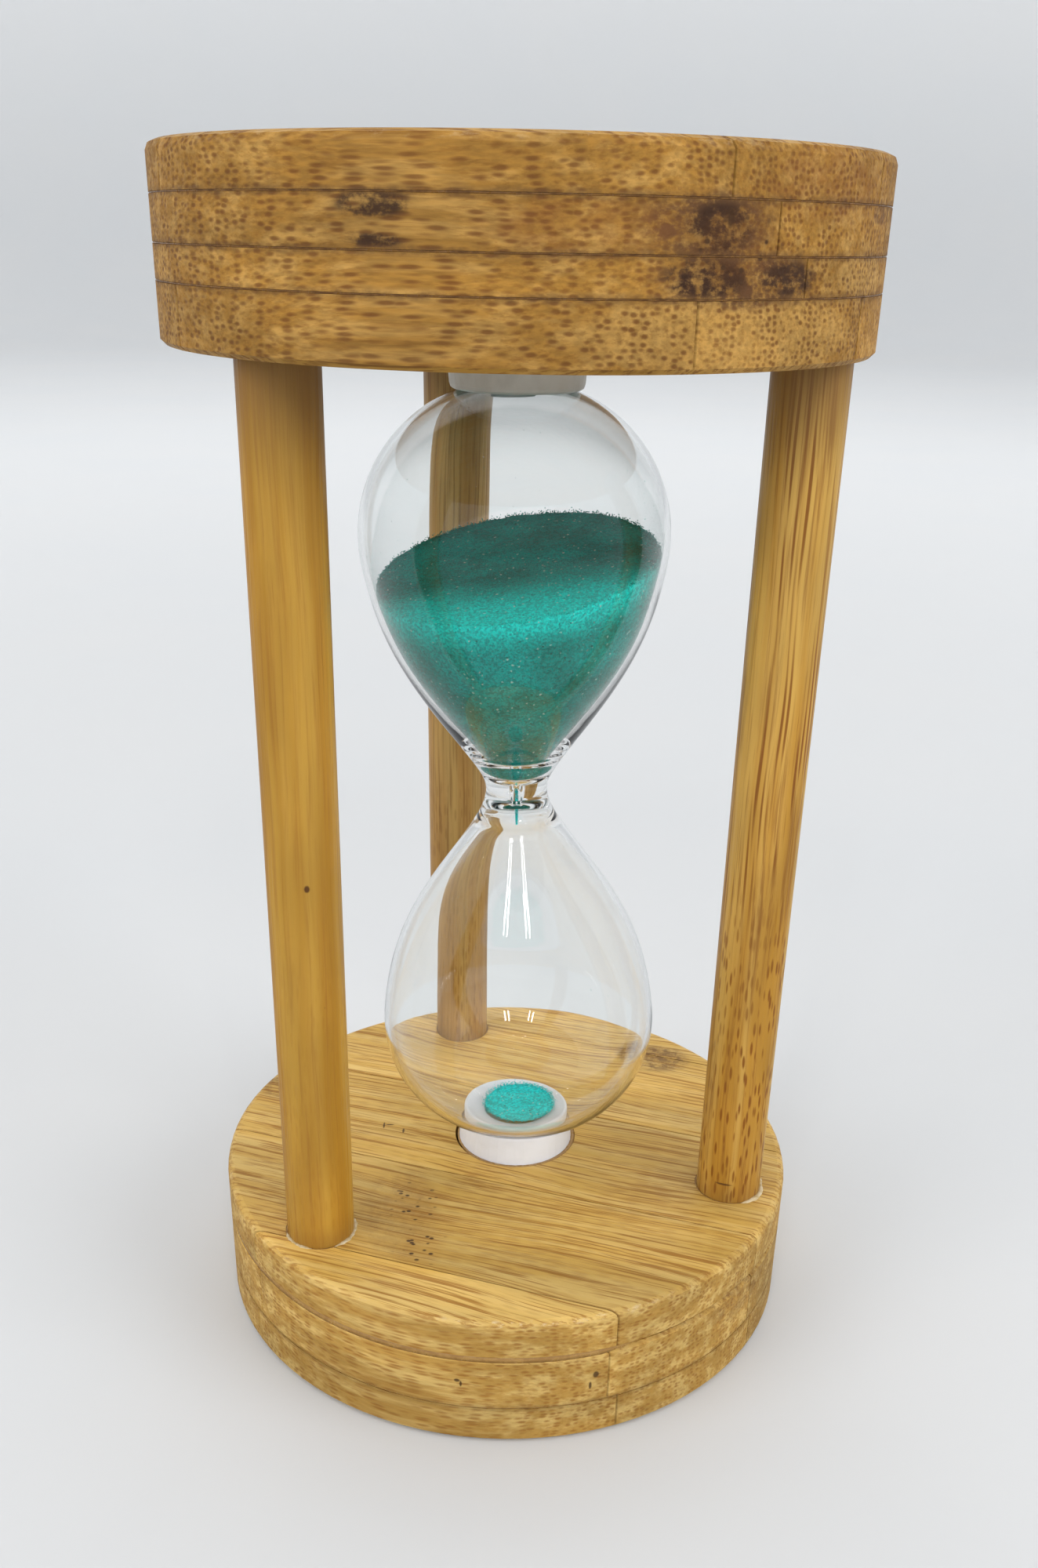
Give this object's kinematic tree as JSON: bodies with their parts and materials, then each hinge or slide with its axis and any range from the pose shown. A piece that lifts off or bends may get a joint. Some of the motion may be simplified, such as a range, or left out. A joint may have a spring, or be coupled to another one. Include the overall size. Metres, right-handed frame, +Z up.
{
  "type": "sand timer",
  "caption": "Hourglass with a clear double bulb of teal sand, held between two round laminated bamboo discs that are joined by bamboo dowels.",
  "frame": {"origin": "centre of the lower disc's underside, where the timer stands", "axes": "+Z up along the lower disc's axis; -Y is the front, facing the open bay between the left and right dowels; +X is to the right seen from the front"},
  "size_m": [0.084, 0.084, 0.1526],
  "materials": {
    "bamboo_base": "satin",
    "bamboo_top": "satin",
    "bamboo_dowel_light": "satin",
    "bamboo_dowel_dark": "satin",
    "bamboo_dowel_brown": "satin",
    "clear_glass": "gloss",
    "white_plastic": "satin",
    "stopper_plastic": "matte",
    "teal_sand": "matte"
  },
  "bodies": {
    "frame": {"base_ply_1_strip_1": "bamboo_base", "base_ply_1_strip_2": "bamboo_base", "base_ply_1_strip_3": "bamboo_base", "base_ply_1_strip_4": "bamboo_base", "base_ply_1_strip_5": "bamboo_base", "base_ply_2_strip_1": "bamboo_base", "base_ply_2_strip_2": "bamboo_base", "base_ply_2_strip_3": "bamboo_base", "base_ply_2_strip_4": "bamboo_base", "base_ply_2_strip_5": "bamboo_base", "base_ply_3_strip_1": "bamboo_base", "base_ply_3_strip_2": "bamboo_base", "base_ply_3_strip_3": "bamboo_base", "base_ply_3_strip_4": "bamboo_base", "base_ply_3_strip_5": "bamboo_base", "dowel_back": "bamboo_dowel_brown", "dowel_left": "bamboo_dowel_light", "dowel_right": "bamboo_dowel_dark", "lower_seat": "white_plastic", "top_ply_1_strip_1": "bamboo_top", "top_ply_1_strip_2": "bamboo_top", "top_ply_1_strip_3": "bamboo_top", "top_ply_1_strip_4": "bamboo_top", "top_ply_1_strip_5": "bamboo_top", "top_ply_2_strip_1": "bamboo_top", "top_ply_2_strip_2": "bamboo_top", "top_ply_2_strip_3": "bamboo_top", "top_ply_2_strip_4": "bamboo_top", "top_ply_3_strip_1": "bamboo_top", "top_ply_3_strip_2": "bamboo_top", "top_ply_3_strip_3": "bamboo_top", "top_ply_3_strip_4": "bamboo_top", "top_ply_4_strip_1": "bamboo_top", "top_ply_4_strip_2": "bamboo_top", "top_ply_4_strip_3": "bamboo_top", "top_ply_4_strip_4": "bamboo_top", "top_ply_4_strip_5": "bamboo_top", "upper_seat": "white_plastic"},
    "glass": {"glass_bulb": "clear_glass", "fill_stopper": "stopper_plastic", "sand_upper": "teal_sand", "sand_lower": "teal_sand", "sand_stream": "teal_sand"}
  },
  "joints": [
    {"name": "glass_spin", "type": "hinge", "parent": "frame", "child": "glass", "pos_m": [0.0004, 0.00085, 0.0767], "axis": [-0.0273, -0.0197, 0.9994], "continuous": true}
  ]
}
